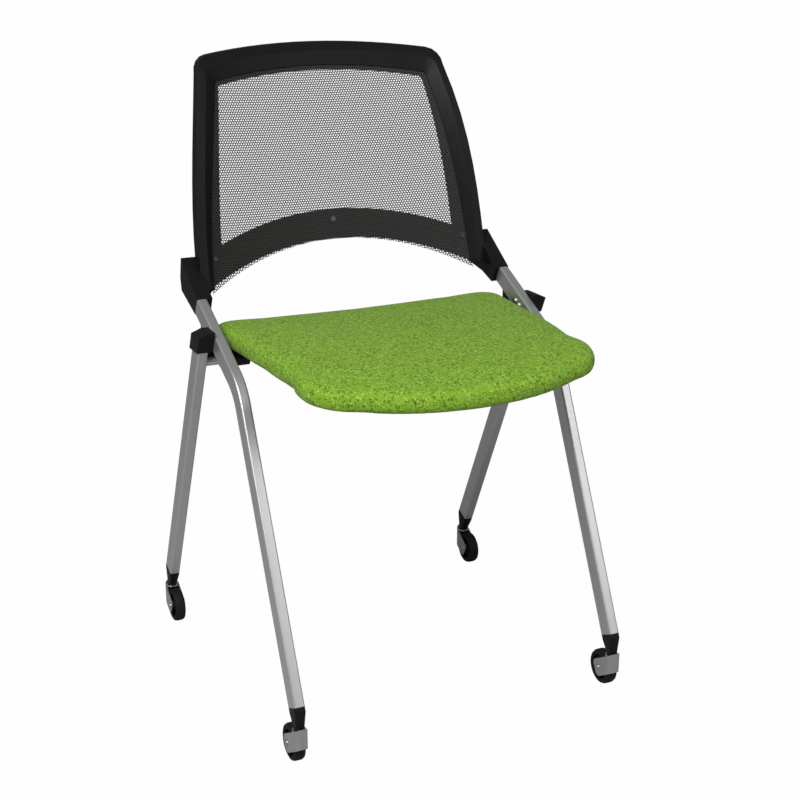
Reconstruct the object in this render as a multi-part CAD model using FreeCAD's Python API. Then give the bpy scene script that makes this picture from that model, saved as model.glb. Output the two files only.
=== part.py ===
import FreeCAD, Part
import math
import os

V = FreeCAD.Vector

# A nesting chair: two bent side tubes and two rear legs carry a mesh back and a seat that tips up.
# All sizes are millimetres. X runs across the chair, Y towards its rear, Z up from the floor.
# The origin is on the floor, under the middle of the overall width and depth.

# The wheelbase stands this far ahead of the middle of the overall depth.
wheelbase_y = 9.5

# Side tubes and rear legs, of one flat tube section
tube_width = 15.0
tube_depth = 26.0
tube_wall = 1.5
tube_edge_radius = 3.0
side_gap = 5.0
seat_to_tube = 8.5
front_angle = 64.5
upper_angle = 26.2
bend_y = -58.4
bend_radius = 71.0
front_foot_z = 81.36
front_leg_length = 414.3
upper_run_length = 172.0
rear_angle = 64.3
rear_foot_z = 83.69
rear_leg_above_joint = 6.5
joint_distance = 105.7

# Joint housings between side tube and rear leg
housing_wall = 2.5
housing_below = 17.0
housing_above = 13.0
housing_slope_width = 13.0
housing_slope_drop = 6.0
fit_clearance = 0.2
joint_bolt_diameter = 5.0
joint_bolt_pitch = 11.0
joint_bolt_below = 3.0
bolt_clearance = 0.25
bolt_head_diameter = 10.0
bolt_head_height = 2.2
nut_diameter = 9.0
nut_height = 4.0

# Cross rod on which the seat tips
rod_diameter = 12.0
rod_below_joint = 41.6

# Castors
wheel_diameter = 50.0
wheel_width = 16.0
tread_thickness = 5.0
tread_round = 4.0
castor_trail = 18.8
axle_diameter = 6.0
axle_head_diameter = 9.0
axle_head_height = 1.0
running_clearance = 0.05
fork_gap = 0.8
fork_thickness = 2.0
fork_strip_width = 25.0
fork_slope = 31.0
fork_end_past_axle = 7.5
fork_end_round = 7.0
fork_above_axle = -0.2
fork_plate_thickness = 2.5
wheel_to_plate = 0.5
stem_diameter = 7.0
stem_length = 17.0
stem_inboard = 6.4
plug_clearance = 1.0
plug_foot_diameter = 14.0
plug_collar = 7.0
plug_tongue_length = 18.0

# Seat, placed from the cross rod
seat_half_width = 221.0
seat_ahead_of_rod = 347.5
seat_behind_rod = 51.5
seat_rear_corner = 28.0
seat_side_end_back = 128.0
seat_side_taper = 17.0
seat_corner_inset = 63.0
seat_corner_back = 37.0
seat_corner_bulge = 0.25
cushion_above_rod = 15.5
cushion_thickness = 28.0
cushion_crown = 4.0
board_thickness = 6.0
board_inset = 12.0
board_front_inset = 16.0
pan_thickness = 3.0
pan_inset = 14.0
pan_front_inset = 24.0
droop_length = 223.0
droop_step = 60.0
droop_steps = 3
droop_slope = 0.028
mend_tolerance = 0.001

# Seat brackets
bracket_length = 40.3
bracket_gap = 1.0
bracket_boss_wall = 3.5
bracket_base_ahead = 48.0
bracket_base_behind = 28.0
bracket_base_thickness = 4.0
bush_wall = 1.5
stop_lug_behind = 14.0
stop_lug_length = 14.0
stop_lug_margin = 1.5
stop_arm_width = 8.0
stop_arm_height = 11.0
stop_pad_thickness = 3.0
stop_gap = 0.3
bracket_screw_diameter = 4.0
bracket_screw_bite = 4.0
bracket_screw_edge = 6.0
bracket_screw_pitch = 10.0
bracket_screw_ahead = 38.0
bracket_screw_behind = 14.0
screw_head_height = 2.0
screw_head_ratio = 1.8

# Back frame: outline placed from the side tube's end, its upper points from its lower end
back_inside_tube = 12.0
back_above_tube = 11.8
back_behind_tube = 107.3
back_mid_inset = 7.7
back_mid_up = 145.0
back_high_inset = 33.5
back_high_up = 291.0
back_shoulder_inset = 53.0
back_shoulder_up = 315.5
back_top_up = 326.5
shell_lip_inset = 32.5
shell_lip_low_inset = 21.0
rim_inset = 12.5
rim_proud = 10.5
lip_proud = 2.6
edge_proud = 6.5
shell_side_depth = 15.0
shell_top_depth = 6.0
shell_rear_step = 5.0
shell_rear_inset = 5.0
pocket_inset = 13.5
carrier_inset = 14.0
window_inset = 39.5
mesh_inset = 18.0
mesh_thickness = 0.8
mesh_clearance = 0.45
carrier_thickness = 5.0
band_top_up = 89.0
band_top_end_up = 56.0
band_bottom_up = 47.5
mesh_skirt = 6.0

# Back frame: lean and curvature of the mesh face
back_lean = 0.1995
back_curve = 0.000473
back_twist = 0.0000032
back_wrap = 0.00082
back_face_up = 157.0
slab_margin = 20.0
slab_side_margin = 10.0
slab_below = 43.0
slab_columns = 13
slab_levels = 11
back_cut_reach = 350.0

# Back brackets on the tube ends
back_bracket_tongue = 35.0
back_bracket_lap = 3.0
back_bracket_head_up = 4.0
ear_top_behind = 62.1
ear_top_up = 45.0
ear_rear_behind = 69.1
ear_rear_high_up = 15.0
ear_rear_low_up = -2.5
ear_low_step = 4.0

# Screws that hold the carrier
band_screw_diameter = 8.0
band_screw_height = 1.2
band_screw_side_inset = 28.0
band_screw_side_up = 41.0
band_screw_middle_up = 75.5
band_screw_past_carrier = 3.0
band_screw_recess_depth = 0.8

# Names of the sides and ends used in piece names
SIDES = (("left", -1.0), ("right", 1.0))
ENDS = (("front", -1.0), ("rear", 1.0))

pieces = {}


def unit(angle):
    """Direction in the side view at an angle above the rearward horizontal."""
    a = math.radians(angle)
    return V(0, math.cos(a), math.sin(a))


def add(name, shape):
    """Keep a piece under its name, one or more solids."""
    pieces[name] = shape


def joined(shapes):
    whole = shapes[0]
    for other in shapes[1:]:
        whole = whole.fuse(other)
    return whole.removeSplitter()


def cylinder(centre, axis, diameter, length):
    return Part.makeCylinder(diameter / 2, length, centre, axis)


def box_between(low, high):
    size = high - low
    return Part.makeBox(size.x, size.y, size.z, low)


def polygon(points):
    return Part.makePolygon(list(points) + [points[0]])


def prism(points, direction):
    return Part.Face(polygon(points)).extrude(direction)


def rounded_section(centre, across, along, width, depth, radius):
    """Closed rounded rectangle wire: width along 'across', depth along 'along'."""
    w = width / 2
    d = depth / 2
    r = radius
    k = r * (1 - math.sqrt(0.5))

    def at(a, b):
        return centre + across * a + along * b

    edges = []
    corners = ((1, 1), (-1, 1), (-1, -1), (1, -1))
    for i, (sa, sb) in enumerate(corners):
        before = at(sa * w, sb * (d - r)) if i % 2 == 0 else at(sa * (w - r), sb * d)
        after = at(sa * (w - r), sb * d) if i % 2 == 0 else at(sa * w, sb * (d - r))
        middle = at(sa * (w - k), sb * (d - k))
        edges.append(Part.Arc(before, middle, after).toShape())
        na, nb = corners[(i + 1) % 4]
        if i % 2 == 0:
            start, end = after, at(na * (w - r), nb * d)
        else:
            start, end = after, at(na * w, nb * (d - r))
        edges.append(Part.LineSegment(start, end).toShape())
    return Part.Wire(edges)


# Side view of the frame: centre lines of the tubes

front_direction = unit(front_angle)
upper_direction = unit(upper_angle)
rear_direction = V(0, -math.cos(math.radians(rear_angle)), math.sin(math.radians(rear_angle)))
bend_point = V(0, bend_y + wheelbase_y, front_foot_z + front_leg_length * front_direction.z)
front_foot = bend_point - front_direction * front_leg_length
upper_end = bend_point + upper_direction * upper_run_length
joint_point = bend_point + upper_direction * joint_distance
rear_leg_length = (joint_point.z - rear_foot_z) / rear_direction.z
rear_foot = joint_point - rear_direction * rear_leg_length
rod_point = joint_point - rear_direction * rod_below_joint
front_tube_x = seat_half_width + seat_to_tube + tube_width / 2
rear_leg_x = front_tube_x + tube_width + side_gap
front_square = V(0, front_direction.z, -front_direction.y)
upper_square = V(0, upper_direction.z, -upper_direction.y)
rear_square = V(0, rear_direction.z, -rear_direction.y)
tube_inner_x = front_tube_x - tube_width / 2
tube_outer_x = front_tube_x + tube_width / 2
leg_inner_x = rear_leg_x - tube_width / 2
leg_outer_x = rear_leg_x + tube_width / 2
ACROSS = V(1, 0, 0)


def bent_tube_solid(x, shrink, extra):
    """Solid of the front tube's path, its section shrunk all round."""
    turn = math.radians(front_angle - upper_angle)
    tangent = bend_radius * math.tan(turn / 2)
    low = bend_point - front_direction * tangent
    high = bend_point + upper_direction * tangent
    bisector = (upper_direction - front_direction)
    bisector.normalize()
    middle = bend_point + bisector * (bend_radius * (1 / math.cos(turn / 2) - 1))
    start = front_foot - front_direction * extra
    end = upper_end + upper_direction * extra
    shift = V(x, 0, 0)
    path = Part.Wire([
        Part.LineSegment(start + shift, low + shift).toShape(),
        Part.Arc(low + shift, middle + shift, high + shift).toShape(),
        Part.LineSegment(high + shift, end + shift).toShape(),
    ])
    section = rounded_section(start + shift, ACROSS, front_square, tube_width - 2 * shrink,
                              tube_depth - 2 * shrink, tube_edge_radius - shrink)
    return path.makePipeShell([section], True, False)


def straight_tube_solid(start, end, square, shrink, extra):
    direction = end - start
    direction.normalize()
    first = start - direction * extra
    section = rounded_section(first, ACROSS, square, tube_width - 2 * shrink,
                              tube_depth - 2 * shrink, tube_edge_radius - shrink)
    return Part.Face(section).extrude(end - start + direction * (2 * extra))


def bolt_offsets():
    """Places of the two bolts, measured from the joint point."""
    half = joint_bolt_pitch / 2
    centre = rear_direction * -joint_bolt_below
    return (centre + upper_direction * half, centre - upper_direction * half)


def joint_bolt_holes(side, start_x, end_x, diameter):
    holes = []
    for offset in bolt_offsets():
        start = joint_point + offset + V(side * start_x, 0, 0)
        holes.append(cylinder(start, V(side, 0, 0), diameter, end_x - start_x))
    return holes


def front_tube(side):
    outer = bent_tube_solid(side * front_tube_x, 0, 0)
    inner = bent_tube_solid(side * front_tube_x, tube_wall, 1)
    tube = outer.cut(inner)
    hole = joint_bolt_diameter + 2 * bolt_clearance
    for cutter in joint_bolt_holes(side, tube_inner_x - 1, tube_outer_x + 1, hole):
        tube = tube.cut(cutter)
    return tube


def leg_blank(side, shrink, extra, top_z):
    """Rear leg's outer or inner solid, cut level at a height."""
    shift = V(side * rear_leg_x, 0, 0)
    past = joint_point + rear_direction * tube_depth
    blank = straight_tube_solid(rear_foot + shift, past + shift, rear_square, shrink, extra)
    corner = V(-2 * rear_leg_x, joint_point.y - 4 * tube_depth, top_z)
    above = Part.makeBox(4 * rear_leg_x, 8 * tube_depth, 4 * tube_depth, corner)
    return blank.cut(above)


def rear_leg(side):
    top_z = joint_point.z + rear_leg_above_joint
    leg = leg_blank(side, 0, 0, top_z).cut(leg_blank(side, tube_wall, 1, top_z + 1))
    hole = joint_bolt_diameter + 2 * bolt_clearance
    for cutter in joint_bolt_holes(side, leg_inner_x - 1, leg_inner_x + tube_wall + 1, hole):
        leg = leg.cut(cutter)
    return leg


def joint_housing(side):
    """Moulded housing that clamps the rear leg's top to the outside of the side tube."""
    half_depth = (tube_depth / 2 + housing_wall) / rear_square.y
    lean = rear_direction.y / rear_direction.z
    low_z = joint_point.z - housing_below
    high_z = joint_point.z + housing_above
    low_y = joint_point.y - housing_below * lean
    high_y = joint_point.y + housing_above * lean
    inner_x = side * tube_outer_x
    outer_x = leg_outer_x + housing_wall
    body = prism([
        V(inner_x, low_y - half_depth, low_z),
        V(inner_x, low_y + half_depth, low_z),
        V(inner_x, high_y + half_depth, high_z),
        V(inner_x, high_y - half_depth, high_z),
    ], V(side * outer_x - inner_x, 0, 0))
    start_y = high_y - 2 * half_depth
    slope = prism([
        V(side * (outer_x - housing_slope_width), start_y, high_z),
        V(side * (outer_x + 1), start_y, high_z),
        V(side * (outer_x + 1), start_y, high_z - housing_slope_drop),
        V(side * outer_x, start_y, high_z - housing_slope_drop),
    ], V(0, 4 * half_depth, 0))
    body = body.cut(slope)
    pocket_top = joint_point.z + rear_leg_above_joint + fit_clearance
    body = body.cut(leg_blank(side, -fit_clearance, 1, pocket_top))
    hole = joint_bolt_diameter + 2 * bolt_clearance
    for cutter in joint_bolt_holes(side, tube_outer_x - 1, leg_inner_x + 1, hole):
        body = body.cut(cutter)
    return body


def joint_bolts(side):
    """Button-head bolts from the inside of the side tube into the rear leg."""
    solids = []
    head_x = tube_inner_x - bolt_head_height
    end_x = leg_inner_x + tube_wall + nut_height
    for offset in bolt_offsets():
        start = joint_point + offset
        head = cylinder(start + V(side * head_x, 0, 0), V(side, 0, 0), bolt_head_diameter,
                        bolt_head_height)
        shank = cylinder(start + V(side * tube_inner_x, 0, 0), V(side, 0, 0),
                         joint_bolt_diameter, end_x - tube_inner_x)
        solids.append(head.fuse(shank).removeSplitter())
    return solids


def joint_nuts(side):
    solids = []
    start_x = leg_inner_x + tube_wall
    for offset in bolt_offsets():
        centre = joint_point + offset + V(side * start_x, 0, 0)
        points = []
        for k in range(6):
            a = math.radians(60 * k)
            points.append(centre + V(0, math.cos(a), math.sin(a)) * (nut_diameter / 2))
        nut = prism(points, V(side * nut_height, 0, 0))
        bore = cylinder(centre - V(side, 0, 0), V(side, 0, 0), joint_bolt_diameter, nut_height + 2)
        solids.append(nut.cut(bore))
    return solids


def pivot_rod():
    start = rod_point - V(leg_inner_x, 0, 0)
    return cylinder(start, ACROSS, rod_diameter, 2 * leg_inner_x)


# Castors: measured from the swivel axis, trailing towards the middle of the chair

wheel_radius = wheel_diameter / 2
plate_bottom_z = wheel_diameter + wheel_to_plate
plate_top_z = plate_bottom_z + fork_plate_thickness
plug_foot_z = plate_top_z + plug_clearance
fork_inner_width = wheel_width + 2 * fork_gap
fork_outer_width = fork_inner_width + 2 * fork_thickness


def castor_places():
    """Name, side, end, swivel axis point on the floor and direction of trail for each castor."""
    places = []
    for end_name, end in ENDS:
        for side_name, side in SIDES:
            x = front_tube_x if end < 0 else rear_leg_x
            foot = front_foot if end < 0 else rear_foot
            slope = 1 / math.tan(math.radians(front_angle if end < 0 else rear_angle))
            y = foot.y + end * ((foot.z - plug_foot_z) * slope - stem_inboard)
            places.append((end_name + "_" + side_name, V(side * x, y, 0), -end, end))
    return places


def leg_plug(axis_point, end):
    """Tapered plug between the tube's cut end and the castor, with a tongue up the tube."""
    foot = front_foot if end < 0 else rear_foot
    direction = front_direction if end < 0 else rear_direction
    square = front_square if end < 0 else rear_square
    top_centre = V(axis_point.x, foot.y, foot.z)
    radius = plug_foot_diameter / 2
    top = rounded_section(top_centre, ACROSS, square, tube_width, tube_depth, tube_edge_radius)
    foot_centre = V(axis_point.x, axis_point.y, plug_foot_z)
    bottom = rounded_section(foot_centre, ACROSS, V(0, square.y / abs(square.y), 0),
                             plug_foot_diameter - 1, plug_foot_diameter, radius - 1.5)
    collar = top.copy()
    collar.translate(direction * -plug_collar)
    body = Part.makeLoft([top, collar, bottom], True, True)
    shrink = tube_wall + fit_clearance
    tongue_start = top_centre - direction
    tongue_section = rounded_section(tongue_start, ACROSS, square, tube_width - 2 * shrink,
                                     tube_depth - 2 * shrink, tube_edge_radius - tube_wall)
    tongue = Part.Face(tongue_section).extrude(direction * (plug_tongue_length + 1))
    whole = body.fuse(tongue).removeSplitter()
    bore_height = plug_foot_z - 1
    bore = cylinder(V(axis_point.x, axis_point.y, bore_height), V(0, 0, 1),
                    stem_diameter + 2 * running_clearance, stem_length + 1.5)
    return whole.cut(bore)


def fork_outline(axle, trail, band_y):
    """Side view of the fork strip: square at the bend, rounded past the axle."""
    slope = math.radians(fork_slope)
    along = V(0, trail * math.cos(slope), -math.sin(slope))
    up = V(0, trail * math.sin(slope), math.cos(slope))
    half = fork_strip_width / 2
    r = fork_end_round
    centre = axle + up * fork_above_axle
    end = centre + along * fork_end_past_axle
    back = abs(band_y - centre.y) / math.cos(slope)
    start = centre - along * back
    rise = V(0, 0, half / math.cos(slope))
    k = r * (1 - math.sqrt(0.5))
    upper = end + up * half
    lower = end - up * half
    edges = [
        Part.LineSegment(start - rise, start + rise).toShape(),
        Part.LineSegment(start + rise, upper - along * r).toShape(),
        Part.Arc(upper - along * r, upper - along * k - up * k, upper - up * r).toShape(),
        Part.LineSegment(upper - up * r, lower + up * r).toShape(),
        Part.Arc(lower + up * r, lower - along * k + up * k, lower - along * r).toShape(),
        Part.LineSegment(lower - along * r, start - rise).toShape(),
    ]
    return Part.Wire(edges)


def hairpin(axis_point, trail, half, reach):
    """Plan of a hairpin round the stem, open towards the wheel."""
    x = axis_point.x
    y = axis_point.y
    edges = [
        Part.LineSegment(V(x + half, reach, -5), V(x + half, y, -5)).toShape(),
        Part.Arc(V(x + half, y, -5), V(x, y - trail * half, -5), V(x - half, y, -5)).toShape(),
        Part.LineSegment(V(x - half, y, -5), V(x - half, reach, -5)).toShape(),
        Part.LineSegment(V(x - half, reach, -5), V(x + half, reach, -5)).toShape(),
    ]
    return Part.Face(Part.Wire(edges)).extrude(V(0, 0, 2 * wheel_diameter))


def castor_fork(axis_point, trail):
    """Strip bent round the stem into two cheeks, with a plate that carries the stem."""
    outer = fork_outer_width / 2
    inner = fork_inner_width / 2
    axle_y = axis_point.y + trail * castor_trail
    reach = axle_y + trail * wheel_diameter
    axle = V(axis_point.x - fork_outer_width, axle_y, wheel_radius)
    outline = fork_outline(axle, trail, axis_point.y - trail * outer)
    strip = Part.Face(outline).extrude(V(2 * fork_outer_width, 0, 0))
    bent = hairpin(axis_point, trail, outer, reach)
    bent = bent.cut(hairpin(axis_point, trail, inner, reach + trail))
    bent = bent.common(strip)
    plate = cylinder(V(axis_point.x, axis_point.y, plate_bottom_z), V(0, 0, 1),
                     fork_inner_width + 0.5, fork_plate_thickness)
    whole = bent.fuse(plate).removeSplitter()
    stem_hole = cylinder(V(axis_point.x, axis_point.y, plate_bottom_z - 1), V(0, 0, 1),
                         stem_diameter, fork_plate_thickness + 2)
    axle_hole = cylinder(V(axis_point.x - fork_outer_width, axle_y, wheel_radius), ACROSS,
                         axle_diameter, 2 * fork_outer_width)
    return whole.cut(stem_hole).cut(axle_hole)


def castor_stem(axis_point):
    start = V(axis_point.x, axis_point.y, plate_bottom_z)
    return cylinder(start, V(0, 0, 1), stem_diameter, fork_plate_thickness + stem_length)


def castor_axle(axis_point, trail):
    axle_y = axis_point.y + trail * castor_trail
    half = fork_outer_width / 2
    pin = cylinder(V(axis_point.x - half, axle_y, wheel_radius), ACROSS, axle_diameter, 2 * half)
    heads = []
    for side in (-1, 1):
        start = V(axis_point.x + side * half, axle_y, wheel_radius)
        heads.append(cylinder(start, V(side, 0, 0), axle_head_diameter, axle_head_height))
    return joined([pin] + heads)


def revolved(axis_point, profile):
    """Turn a half section, given as radius and distance across, about the wheel's axle."""
    points = [axis_point + V(a, 0, r) for r, a in profile]
    face = Part.Face(polygon(points))
    return face.revolve(axis_point, ACROSS, 360)


def wheel_core(axis_point, trail):
    centre = V(axis_point.x, axis_point.y + trail * castor_trail, wheel_radius)
    bore = axle_diameter / 2 + running_clearance
    hub = axle_diameter / 2 + 3.0
    rim = wheel_radius - tread_thickness
    inner_rim = rim - 2.5
    half = wheel_width / 2
    web = 2.0
    return revolved(centre, [
        (bore, -half), (hub, -half), (hub + 1, -web), (inner_rim, -web), (inner_rim, -half + 1),
        (rim, -half + 1), (rim, half - 1), (inner_rim, half - 1), (inner_rim, web),
        (hub + 1, web), (hub, half), (bore, half),
    ])


def wheel_tread(axis_point, trail):
    centre = V(axis_point.x, axis_point.y + trail * castor_trail, wheel_radius)
    rim = wheel_radius - tread_thickness
    half = wheel_width / 2
    ring = revolved(centre, [
        (rim, -half + 1), (rim + 0.5, -half), (wheel_radius - tread_round, -half),
        (wheel_radius - tread_round * 0.3, -half + tread_round * 0.3),
        (wheel_radius, -half + tread_round), (wheel_radius, half - tread_round),
        (wheel_radius - tread_round * 0.3, half - tread_round * 0.3),
        (wheel_radius - tread_round, half), (rim + 0.5, half), (rim, half - 1),
    ])
    return ring


# Seat

seat_front_y = rod_point.y - seat_ahead_of_rod
seat_rear_y = rod_point.y + seat_behind_rod
seat_corner_x = seat_half_width - seat_corner_inset
cushion_bottom_z = rod_point.z + cushion_above_rod
seat_edge_z = cushion_bottom_z + cushion_thickness


def seat_outline(inset, front_inset, z):
    """Plan of the seat at one height, drawn in all round."""
    half = seat_half_width - inset
    narrow = half - seat_side_taper
    rear = seat_rear_y - inset
    corner = seat_rear_corner + inset * 0.2
    k = corner * (1 - math.sqrt(0.5))
    front = seat_front_y + front_inset
    side_end = seat_front_y + seat_side_end_back + front_inset * 0.6
    cx = seat_corner_x - inset * 0.6
    cy = front + seat_corner_back
    bulge = seat_corner_bulge
    mx = (narrow + cx) / 2 + (side_end - cy) * bulge
    my = (side_end + cy) / 2 - (narrow - cx) * bulge
    edges = [
        Part.LineSegment(V(-half + corner, rear, z), V(half - corner, rear, z)).toShape(),
        Part.Arc(V(half - corner, rear, z), V(half - k, rear - k, z),
                 V(half, rear - corner, z)).toShape(),
        Part.LineSegment(V(half, rear - corner, z), V(narrow, side_end, z)).toShape(),
        Part.Arc(V(narrow, side_end, z), V(mx, my, z), V(cx, cy, z)).toShape(),
        Part.Arc(V(cx, cy, z), V(0, front, z), V(-cx, cy, z)).toShape(),
        Part.Arc(V(-cx, cy, z), V(-mx, my, z), V(-narrow, side_end, z)).toShape(),
        Part.LineSegment(V(-narrow, side_end, z), V(-half, rear - corner, z)).toShape(),
        Part.Arc(V(-half, rear - corner, z), V(-half + k, rear - k, z),
                 V(-half + corner, rear, z)).toShape(),
    ]
    return Part.Wire(edges)


def drooped(shape):
    """Bend the front of a flat seat piece down in a few straight steps, each steeper."""
    span = 2 * seat_half_width
    low_z = cushion_bottom_z - span / 2
    y = seat_front_y + droop_length
    slices = [shape.common(Part.makeBox(span, span, span, V(-span / 2, y, low_z)))]
    drop = 0.0
    for k in range(droop_steps):
        depth = droop_step if k < droop_steps - 1 else span
        block = Part.makeBox(span, depth, span, V(-span / 2, y - depth, low_z))
        shear = FreeCAD.Matrix()
        shear.A32 = droop_slope * (k + 1)
        shear.A34 = -shear.A32 * y - drop
        bent = shape.common(block).transformGeometry(shear)
        bent.fix(mend_tolerance, mend_tolerance, mend_tolerance)
        slices.append(bent)
        drop += shear.A32 * droop_step
        y -= droop_step
    return joined(slices)


def seat_cushion():
    """Upholstered pad wrapped round its board: rounded edges and a low crown on top."""
    sides = (
        (8.0, 8.0, 0.0), (3.0, 3.5, 0.08), (0.6, 0.8, 0.22), (0.0, 0.0, 0.45),
        (0.6, 1.2, 0.72), (2.5, 4.0, 0.9), (7.0, 9.0, 1.0),
    )
    top = ((20.0, 26.0, 0.4), (45.0, 55.0, 0.8), (70.0, 85.0, 1.0))
    wires = []
    for inset, front_inset, share in sides:
        wires.append(seat_outline(inset, front_inset, cushion_bottom_z + cushion_thickness * share))
    for inset, front_inset, share in top:
        wires.append(seat_outline(inset, front_inset, seat_edge_z + cushion_crown * share))
    return drooped(Part.makeLoft(wires, True, True).cut(flat_board()))


def flat_board():
    face = Part.Face(seat_outline(board_inset, board_front_inset, cushion_bottom_z))
    return face.extrude(V(0, 0, board_thickness))


def seat_board():
    """Plywood let into the underside of the pad."""
    return drooped(flat_board())


def seat_pan():
    """Shallow moulded tray that closes the underside."""
    face = Part.Face(seat_outline(pan_inset, pan_front_inset, cushion_bottom_z - pan_thickness))
    return drooped(face.extrude(V(0, 0, pan_thickness)))


pan_bottom_z = cushion_bottom_z - pan_thickness
base_bottom_z = pan_bottom_z - bracket_base_thickness
bracket_outer_x = tube_inner_x - bolt_head_height - bracket_gap
bracket_inner_x = bracket_outer_x - bracket_length
bracket_boss_diameter = rod_diameter + 2 * bush_wall + 2 * bracket_boss_wall


def under_tube(y, distance):
    """Height of a line parallel to the side tube's lower face, this far below it."""
    on_line = bend_point.z + (y - bend_point.y) * upper_direction.z / upper_direction.y
    return on_line - (tube_depth / 2 + distance) / upper_direction.y


def stop_block(side, low_z, top_distance, bottom_distance):
    """Block below the side tube, between a level bottom or parallel face and a parallel top."""
    front = rod_point.y + stop_lug_behind
    rear = front + stop_lug_length
    inner_x = side * (tube_inner_x + stop_lug_margin)
    outer_x = side * (tube_outer_x - stop_lug_margin)
    if bottom_distance is None:
        bottom = [V(inner_x, front, low_z), V(inner_x, rear, low_z)]
    else:
        bottom = [V(inner_x, front, under_tube(front, bottom_distance)),
                  V(inner_x, rear, under_tube(rear, bottom_distance))]
    top = [V(inner_x, rear, under_tube(rear, top_distance)),
           V(inner_x, front, under_tube(front, top_distance))]
    return prism(bottom + top, V(outer_x - inner_x, 0, 0))


def side_box(side, inner_x, outer_x, low_y, high_y, low_z, high_z):
    """Box on one side of the chair, from its inner to its outer distance across."""
    xs = sorted((side * inner_x, side * outer_x))
    return box_between(V(xs[0], low_y, low_z), V(xs[1], high_y, high_z))


def seat_bracket(side):
    """Base flange, boss round the rod and a stop lug under the side tube in one moulding."""
    front = rod_point.y + stop_lug_behind
    rear = front + stop_lug_length
    base = side_box(side, bracket_inner_x, bracket_outer_x, rod_point.y - bracket_base_ahead,
                    rod_point.y + bracket_base_behind, base_bottom_z, pan_bottom_z)
    boss = cylinder(rod_point + V(side * bracket_inner_x, 0, 0), V(side, 0, 0),
                    bracket_boss_diameter, bracket_outer_x - bracket_inner_x)
    neck = side_box(side, bracket_inner_x, bracket_outer_x,
                    rod_point.y - bracket_boss_diameter / 2,
                    rod_point.y + bracket_boss_diameter / 2, rod_point.z, pan_bottom_z)
    arm = side_box(side, bracket_outer_x - stop_arm_width, tube_outer_x - stop_lug_margin,
                   front, rear, pan_bottom_z - stop_arm_height, pan_bottom_z)
    lug = stop_block(side, pan_bottom_z - stop_arm_height, stop_gap + stop_pad_thickness, None)
    whole = joined([base, boss, neck, arm, lug])
    bore = cylinder(rod_point + V(side * (bracket_inner_x - 1), 0, 0), V(side, 0, 0),
                    rod_diameter + 2 * bush_wall, bracket_outer_x - bracket_inner_x + 2)
    return whole.cut(bore)


def seat_bush(side):
    length = bracket_outer_x - bracket_inner_x
    start = rod_point + V(side * bracket_inner_x, 0, 0)
    outer = cylinder(start, V(side, 0, 0), rod_diameter + 2 * bush_wall, length)
    bore = cylinder(start - V(side, 0, 0), V(side, 0, 0), rod_diameter + 2 * running_clearance,
                    length + 2)
    return outer.cut(bore)


def stop_pad(side):
    """Rubber pad on the stop lug, just clear of the side tube."""
    return stop_block(side, 0, stop_gap, stop_gap + stop_pad_thickness)


# Back frame

back_low_x = front_tube_x - back_inside_tube
back_low_z = upper_end.z + back_above_tube
back_face_y = upper_end.y + back_behind_tube
back_mid_x = back_low_x - back_mid_inset
back_high_x = back_low_x - back_high_inset
back_shoulder_x = back_low_x - back_shoulder_inset


def back_face_at(x, z):
    """Y of the mesh's front face at one place of the back."""
    t = z - back_low_z - back_face_up
    return (back_face_y + back_lean * t + back_curve * t * t
            + back_twist * t * t * t - back_wrap * x * x)


def outline_arcs(inset, low_inset):
    """Side, corner and half top arcs of the back's outline, drawn in by an inset."""
    high_x = back_high_x - 0.77 * inset
    high_z = back_low_z + back_high_up - 0.557 * inset
    shoulder_x = back_shoulder_x - 0.38 * inset
    shoulder_z = back_low_z + back_shoulder_up - 1.06 * inset
    corner_x = (high_x + shoulder_x) / 2 + 0.2 * (high_x - shoulder_x)
    corner_z = (high_z + shoulder_z) / 2 + 0.2 * (shoulder_z - high_z)
    top_z = back_low_z + back_top_up - inset
    quarter_z = shoulder_z + (top_z - shoulder_z) * 0.75
    middle_x = back_mid_x - (inset + low_inset) / 2
    side = Part.Arc(V(back_low_x - low_inset, 0, back_low_z), V(middle_x, 0, back_low_z + back_mid_up),
                    V(high_x, 0, high_z))
    corner = Part.Arc(V(high_x, 0, high_z), V(corner_x, 0, corner_z), V(shoulder_x, 0, shoulder_z))
    top = Part.Arc(V(shoulder_x, 0, shoulder_z), V(shoulder_x / 2, 0, quarter_z), V(0, 0, top_z))
    return side, corner, top


def mirrored(point):
    return V(-point.x, point.y, point.z)


def outline_edges(inset):
    """Edges of the outline from the lower left end over the top to the lower right end."""
    side, corner, top = outline_arcs(inset, inset)
    edges = []
    right = []
    for arc in (side, corner, top):
        first = arc.value(arc.FirstParameter)
        middle = arc.value((arc.FirstParameter + arc.LastParameter) / 2)
        last = arc.value(arc.LastParameter)
        edges.append(Part.Arc(mirrored(first), mirrored(middle), mirrored(last)).toShape())
        right.insert(0, Part.Arc(last, middle, first).toShape())
    return edges + right


def arch(half, end_z, middle_z):
    """Arc below the back from the lower right end to the lower left end."""
    return Part.Arc(V(half, 0, end_z), V(0, 0, middle_z), V(-half, 0, end_z)).toShape()


def through(wire):
    """Prism through the whole back from a flat outline."""
    face = Part.Face(wire)
    face.translate(V(0, back_face_y - back_cut_reach, 0))
    return face.extrude(V(0, 2 * back_cut_reach, 0))


def face_slab(front, thickness):
    """Slab that follows the mesh's face, from a distance in front of it, this thick."""
    rows = []
    low_z = back_low_z - slab_below
    high_z = back_low_z + back_top_up + slab_margin
    side_x = back_low_x + slab_side_margin
    for j in range(slab_levels):
        z = low_z + (high_z - low_z) * j / (slab_levels - 1)
        row = []
        for i in range(slab_columns):
            x = side_x * (2.0 * i / (slab_columns - 1) - 1.0)
            row.append(V(x, back_face_at(x, z) - front, z))
        rows.append(row)
    surface = Part.BSplineSurface()
    surface.interpolate(rows)
    return surface.toShape().extrude(V(0, thickness, 0))


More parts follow.
